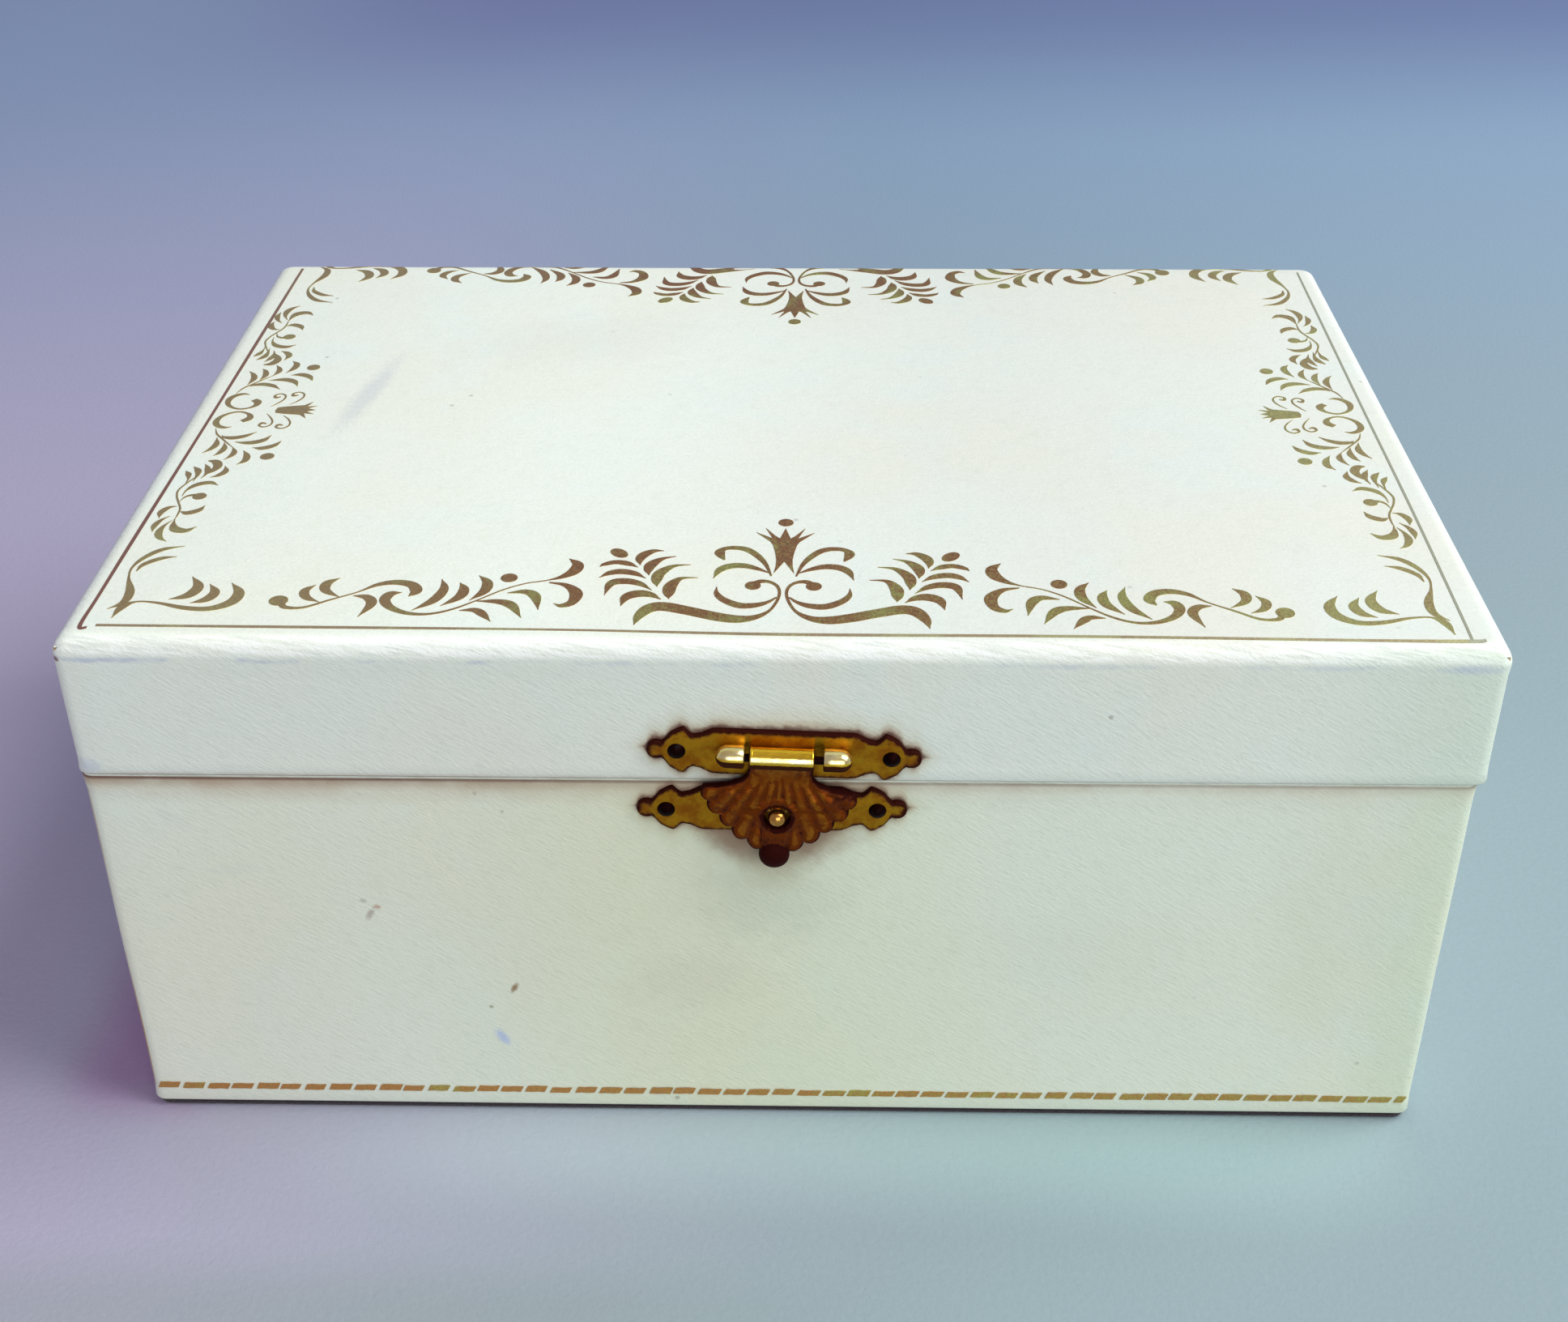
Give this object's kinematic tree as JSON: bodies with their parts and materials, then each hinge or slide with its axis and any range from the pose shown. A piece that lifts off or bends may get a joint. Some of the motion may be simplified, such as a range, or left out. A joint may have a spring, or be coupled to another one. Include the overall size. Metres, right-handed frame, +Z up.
{
  "type": "jewellery box",
  "caption": "Rectangular leatherette-covered jewellery box with a hinged lid, a scalloped brass hasp over a ball stud, a mirror in the lid and a tray that rises as the lid opens.",
  "frame": {"origin": "on the table, under the middle of the box", "axes": "+X to the right as seen from the front, +Y from the latch towards the hinges, +Z up"},
  "size_m": [0.203, 0.1501, 0.089],
  "materials": {
    "leatherette": "white embossed leatherette, satin, with gold tooling",
    "wood": "unfinished light softwood",
    "wadding": "thin cotton wadding",
    "felt": "dark felt",
    "velvet": "burgundy velvet",
    "velvet_board": "thin board covered with burgundy velvet",
    "satin": "burgundy satin",
    "mirror": "silvered glass",
    "brass": "aged stamped brass",
    "dark_brass": "dark tarnished brass"
  },
  "bodies": {
    "box": {"box_front_panel": "wood", "box_back_panel": "wood", "box_left_panel": "wood", "box_right_panel": "wood", "box_bottom_panel": "wood", "box_covering": "leatherette", "base_felt": "felt", "box_front_lining": "velvet", "box_back_lining": "velvet", "box_left_lining": "velvet", "box_right_lining": "velvet", "floor_pad": "velvet", "long_divider": "velvet_board", "cross_dividers": "velvet_board", "catch_plate": "brass", "catch_stud": "brass", "catch_nails": "dark_brass", "hinge_left_lower_leaf": "brass", "hinge_right_lower_leaf": "brass", "hinge_left_pin": "dark_brass", "hinge_right_pin": "dark_brass", "hinge_lower_nails": "dark_brass", "arm_pivot_left": "dark_brass", "arm_pivot_right": "dark_brass"},
    "lid": {"lid_front_rail": "wood", "lid_back_rail": "wood", "lid_left_rail": "wood", "lid_right_rail": "wood", "lid_top_panel": "wood", "lid_wadding": "wadding", "lid_covering": "leatherette", "lid_front_lining": "velvet", "lid_back_lining": "velvet", "lid_left_lining": "velvet", "lid_right_lining": "velvet", "lid_satin_pad": "satin", "mirror_glass": "mirror", "mirror_frame": "brass", "hinge_left_upper_leaf": "brass", "hinge_right_upper_leaf": "brass", "hinge_upper_nails": "dark_brass", "latch_plate": "brass", "latch_pin": "dark_brass", "latch_nails": "dark_brass", "lift_bracket_left": "brass", "lift_bracket_right": "brass", "lift_bracket_screws": "dark_brass"},
    "hasp": {"hasp": "dark_brass"},
    "arm_left": {"tray_arm_left": "brass"},
    "arm_right": {"tray_arm_right": "brass"},
    "tray": {"tray_floor": "velvet_board", "tray_front_wall": "velvet_board", "tray_back_wall": "velvet_board", "tray_left_wall": "velvet_board", "tray_right_wall": "velvet_board", "tray_dividers": "velvet_board", "ring_rolls": "velvet", "tray_pad": "velvet", "tray_rivets": "dark_brass"}
  },
  "joints": [
    {"name": "lid_hinge", "type": "hinge", "parent": "box", "child": "lid", "pos_m": [0, 0.0731, 0.0658], "axis": [-1, 0, 0], "range_deg": [0, 98]},
    {"name": "hasp_pivot", "type": "hinge", "parent": "lid", "child": "hasp", "pos_m": [0.00097, -0.07355, 0.0716], "axis": [-0.9993, 0, 0.0384], "range_deg": [0, 150]},
    {"name": "arm_left_pivot", "type": "hinge", "parent": "box", "child": "arm_left", "pos_m": [-0.0918, 0.0242, 0.0581], "axis": [-1, 0, 0], "range_deg": [0, 98]},
    {"name": "arm_right_pivot", "type": "hinge", "parent": "box", "child": "arm_right", "pos_m": [0.0918, 0.0242, 0.0581], "axis": [-1, 0, 0], "range_deg": [0, 98]},
    {"name": "tray_pivot", "type": "hinge", "parent": "arm_left", "child": "tray", "pos_m": [-0.0918, -0.01004, 0.04698], "axis": [1, 0, 0], "range_deg": [0, 98]}
  ],
  "couplings": [
    {"joint": "arm_left_pivot", "follows": "lid_hinge", "ratio": 1},
    {"joint": "arm_right_pivot", "follows": "lid_hinge", "ratio": 1},
    {"joint": "tray_pivot", "follows": "lid_hinge", "ratio": 1}
  ]
}
